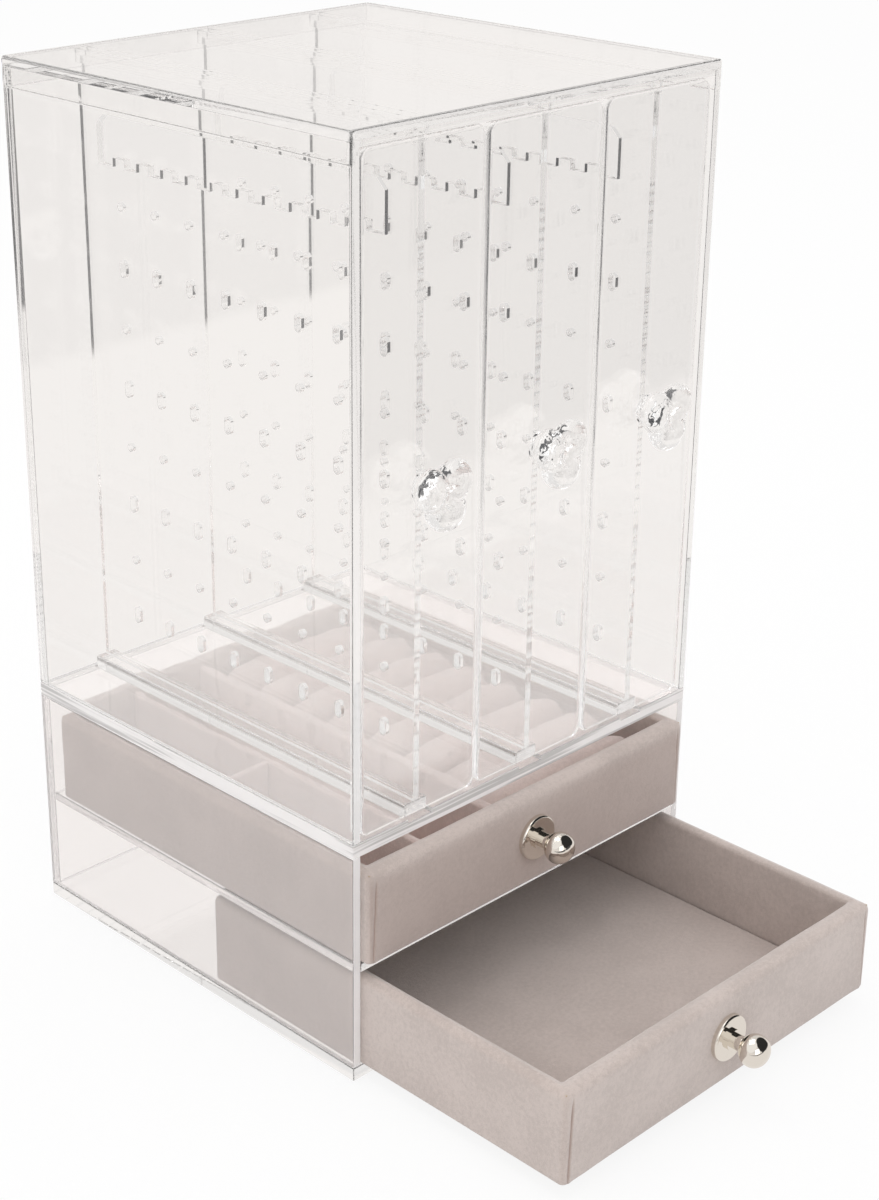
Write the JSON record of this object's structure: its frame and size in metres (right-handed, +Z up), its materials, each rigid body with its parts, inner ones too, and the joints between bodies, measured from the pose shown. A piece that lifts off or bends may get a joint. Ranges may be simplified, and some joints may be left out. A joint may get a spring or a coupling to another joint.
{
  "type": "jewelry box with drawers",
  "caption": "Clear jewelry box: upright earring drawers with pierced plates and flower knobs stand over velvet drawers with ball knobs, all sliding out of the front.",
  "frame": {"origin": "middle of the underside of the case", "axes": "+Z up, the drawers open towards -Y, +X to the right as seen from the front"},
  "size_m": [0.151, 0.2449, 0.285],
  "materials": {
    "clear_acrylic": "clear, polished",
    "velvet": "short pile, matte",
    "board": "raw fibre board",
    "polished_nickel": "polished",
    "screw_steel": "zinc plated"
  },
  "bodies": {
    "case": {"base_back_wall": "clear_acrylic", "base_floor": "clear_acrylic", "base_left_wall": "clear_acrylic", "base_right_wall": "clear_acrylic", "drawer_shelf": "clear_acrylic", "top_cover": "clear_acrylic", "tower_back_wall": "clear_acrylic", "tower_floor": "clear_acrylic", "tower_left_wall": "clear_acrylic", "tower_right_wall": "clear_acrylic"},
    "left_earring_drawer": {"left_earring_front": "clear_acrylic", "left_earring_knob": "clear_acrylic", "left_earring_plate": "clear_acrylic", "left_earring_rail": "clear_acrylic"},
    "middle_earring_drawer": {"middle_earring_front": "clear_acrylic", "middle_earring_knob": "clear_acrylic", "middle_earring_plate": "clear_acrylic", "middle_earring_rail": "clear_acrylic"},
    "right_earring_drawer": {"right_earring_front": "clear_acrylic", "right_earring_knob": "clear_acrylic", "right_earring_plate": "clear_acrylic", "right_earring_rail": "clear_acrylic"},
    "upper_drawer": {"upper_drawer_back_board": "board", "upper_drawer_bottom_board": "board", "upper_drawer_front_board": "board", "upper_drawer_left_board": "board", "upper_drawer_lining": "velvet", "upper_drawer_right_board": "board", "upper_drawer_velvet": "velvet", "upper_knob": "polished_nickel", "upper_knob_flange": "polished_nickel", "upper_knob_screw": "screw_steel", "cross_divider": "velvet", "left_divider": "velvet", "right_divider": "velvet", "ring_roll_1": "velvet", "ring_roll_2": "velvet", "ring_roll_3": "velvet", "ring_roll_4": "velvet", "ring_roll_5": "velvet", "ring_roll_6": "velvet", "ring_roll_7": "velvet", "ring_roll_8": "velvet"},
    "lower_drawer": {"lower_drawer_back_board": "board", "lower_drawer_bottom_board": "board", "lower_drawer_front_board": "board", "lower_drawer_left_board": "board", "lower_drawer_lining": "velvet", "lower_drawer_right_board": "board", "lower_drawer_velvet": "velvet", "lower_knob": "polished_nickel", "lower_knob_flange": "polished_nickel", "lower_knob_screw": "screw_steel"}
  },
  "joints": [
    {"name": "left_earring_slide", "type": "slide", "parent": "case", "child": "left_earring_drawer", "axis": [0, -1, 0], "range_m": [0, 0.11]},
    {"name": "middle_earring_slide", "type": "slide", "parent": "case", "child": "middle_earring_drawer", "axis": [0, -1, 0], "range_m": [0, 0.11]},
    {"name": "right_earring_slide", "type": "slide", "parent": "case", "child": "right_earring_drawer", "axis": [0, -1, 0], "range_m": [0, 0.11]},
    {"name": "upper_drawer_slide", "type": "slide", "parent": "case", "child": "upper_drawer", "axis": [0, -1, 0], "range_m": [-0.003, 0.112]},
    {"name": "lower_drawer_slide", "type": "slide", "parent": "case", "child": "lower_drawer", "axis": [0, -1, 0], "range_m": [-0.08, 0.035]}
  ]
}
